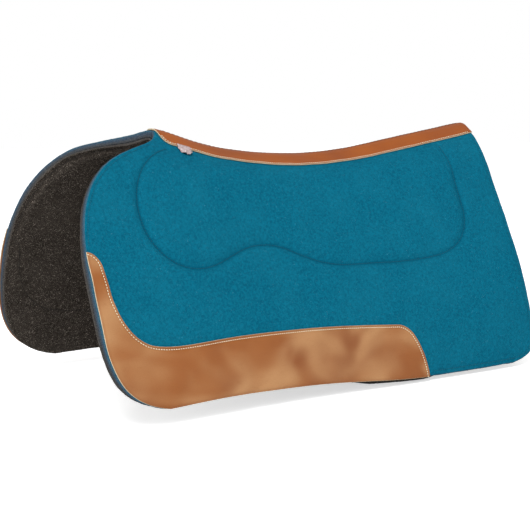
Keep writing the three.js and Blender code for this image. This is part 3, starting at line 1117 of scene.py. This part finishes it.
def ridge_seam_stitches():
    """A zigzag that joins the halves under the strip's middle."""
    count = 150
    swing = 3.0
    thread = 0.7
    x = np.linspace(ridge_front + 12, rear - 10, count)
    side = swing * (1 - 2 * (np.arange(count) % 2))
    points = np.stack([x, side], -1)
    shape = lockstitches(points[:-1], points[1:], spine_top, thread)
    publish("ridge_seam_stitches", shape, [russet_thread, charcoal_thread],
            "ridge_seam_thread", "right_half")


# ---- Tag ----

def maker_tag_hide():
    """A small blank tab, sewn in under the strip's stitches and crumpled where it hangs free."""
    left = ridge_front + 22
    right = left + 19
    top = strip_half_width - 3
    bottom = strip_half_width + 13
    thickness = 0.9
    rounding = 0.3
    gap = 0.4
    least_gap = 0.3
    lift_off = 2.4  # of the free end from the felt
    flat = patch(
        Path([(left, top), (right, top)]),
        Path(bend((left + 3, bottom), (left + 6, bottom + 2), (right - 7, bottom + 1),
                  (right - 2, bottom - 2))),
        Path(bend((left, top), (left - 1, top + 7), (left, bottom - 2), (left + 3, bottom))),
        Path(bend((right, top), (right + 2, top + 5), (right, bottom - 4),
                  (right - 2, bottom - 2))),
        41, 29, rounding)
    drop = flat[..., 1]
    free = smooth(drop, top, bottom)
    off_strip = smooth(drop, strip_half_width, strip_half_width + 4)
    base = outer_relief(flat)
    low = base + gap + (leather + LEATHER_SEAT) * (1 - off_strip)
    low = low + free * (lift_off + undulation(flat, *TAG_WAVES))
    low = np.maximum(low, base + least_gap)
    shape = closed_sheet(flat, low + thickness, low, rounded_rim(rounding, thickness, 1))
    publish("maker_tag_hide", shape, [tag_face, tag_face], "maker_tag", "left_half")


# ---- The pad ----

FIRST_STITCH_SEED = 100

for half, way in HALVES.items():
    outer_felt_cloth(half, way)
    inner_felt_cloth(half, way)
    insert_pad(half, way)
    wear_leather_hide(half, way)
    rows = (
        ("wear", wear_row, wear_top, cream_thread, "wear_thread", "cream_thread"),
        ("quilting", quilt_line, outer_relief, quilting_thread, "insert_thread", "teal_thread"),
        ("front_edge", front_row, outer_relief, teal_thread, "front_edge_thread", "teal_thread"),
        ("rear_edge", rear_row, outer_relief, teal_thread, "rear_edge_thread", "teal_thread"),
        ("spine", spine_row, spine_top, cream_thread, "spine_thread", "cream_thread"),
    )
    for number, (kind, row, surface, look, node, slot_name) in enumerate(rows):
        stitches(f"{half}_{kind}_stitches", row, surface, half, way, look,
                 f"{half}_{node}", FIRST_STITCH_SEED + number)
spine_leather_hide()
ridge_seam_stitches()
maker_tag_hide()


# ---- Studio ----

AMBIENT = 0.6  # strength of the white surroundings as a light
FLOOR_GLOW = 0.55  # to the eye only, so that the floor is as white as the backdrop
FLOOR_SIZE = 6.0
FLOOR_GAP = 0.0005


def studio():
    """White surroundings and a white floor under the pad."""
    scene = bpy.context.scene
    scene.view_settings.view_transform = "Standard"
    scene.view_settings.look = "None"
    world = bpy.data.worlds.new("studio")
    scene.world = world
    world.use_nodes = True
    background = world.node_tree.nodes["Background"]
    background.inputs["Color"].default_value = (1, 1, 1, 1)
    # The backdrop is plain white to the eye, and a little dimmer as a light.
    seen = world.node_tree.nodes.new("ShaderNodeLightPath").outputs["Is Camera Ray"]
    strength = world.node_tree.nodes.new("ShaderNodeMapRange")
    strength.inputs["To Min"].default_value = AMBIENT
    strength.inputs["To Max"].default_value = 1.0
    world.node_tree.links.new(seen, strength.inputs["Value"])
    world.node_tree.links.new(strength.outputs["Result"], background.inputs["Strength"])

    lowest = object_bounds()[0][2]
    corners = [(-1, -1), (1, -1), (1, 1), (-1, 1)]
    points = [(x * FLOOR_SIZE, y * FLOOR_SIZE, lowest - FLOOR_GAP) for x, y in corners]
    mesh = bpy.data.meshes.new("floor")
    mesh.from_pydata(points, [], [(0, 1, 2, 3)])
    floor = bpy.data.objects.new("floor", mesh)
    scene.collection.objects.link(floor)
    look = Look("floor_look", 0.9, 0.1)
    seen = look.add("ShaderNodeLightPath").outputs["Is Camera Ray"]
    look.feed(look.skin.inputs["Emission Color"], (1, 1, 1, 1))
    look.feed(look.skin.inputs["Emission Strength"], look.range(seen, 0, 1, 0, FLOOR_GLOW))
    mesh.materials.append(look.finish(shade(250, 250, 250)))
    floor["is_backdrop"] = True


def area_light(name, place, target, size, power):
    light = bpy.data.lights.new(name, "AREA")
    light.size = size
    light.energy = power
    lamp = bpy.data.objects.new(name, light)
    lamp.location = place
    lamp.rotation_euler = (Vector(target) - Vector(place)).to_track_quat("-Z", "Y").to_euler()
    bpy.context.scene.collection.objects.link(lamp)


def camera():
    """Looks at the pad's left side from ahead and a little above."""
    azimuth = math.radians(33.08)
    elevation = math.radians(8.69)
    roll = math.radians(0.45)
    distance = 1.6545
    target = Vector((-0.0160, 0.0, 0.1508))
    back = Vector((-math.sin(azimuth) * math.cos(elevation),
                   -math.cos(azimuth) * math.cos(elevation), math.sin(elevation)))
    right = Vector((math.cos(azimuth), -math.sin(azimuth), 0))
    up = back.cross(right)
    turned_right = right * math.cos(roll) + up * math.sin(roll)
    turned_up = up * math.cos(roll) - right * math.sin(roll)
    lens = bpy.data.cameras.new("camera")
    lens.sensor_width = 36
    lens.lens = 77.57
    eye = bpy.data.objects.new("camera", lens)
    turn = Matrix((turned_right, turned_up, back)).transposed()
    eye.matrix_world = Matrix.Translation(target + back * distance) @ turn.to_4x4()
    bpy.context.scene.collection.objects.link(eye)
    bpy.context.scene.camera = eye


studio()
middle = (0, 0, 0.18)
area_light("key", (-1.3, -1.5, 2.5), middle, 1.4, 54)
area_light("fill", (1.2, -2.4, 1.0), middle, 2.0, 12)
area_light("front", (-2.6, -0.4, 1.0), middle, 1.6, 17)
camera()
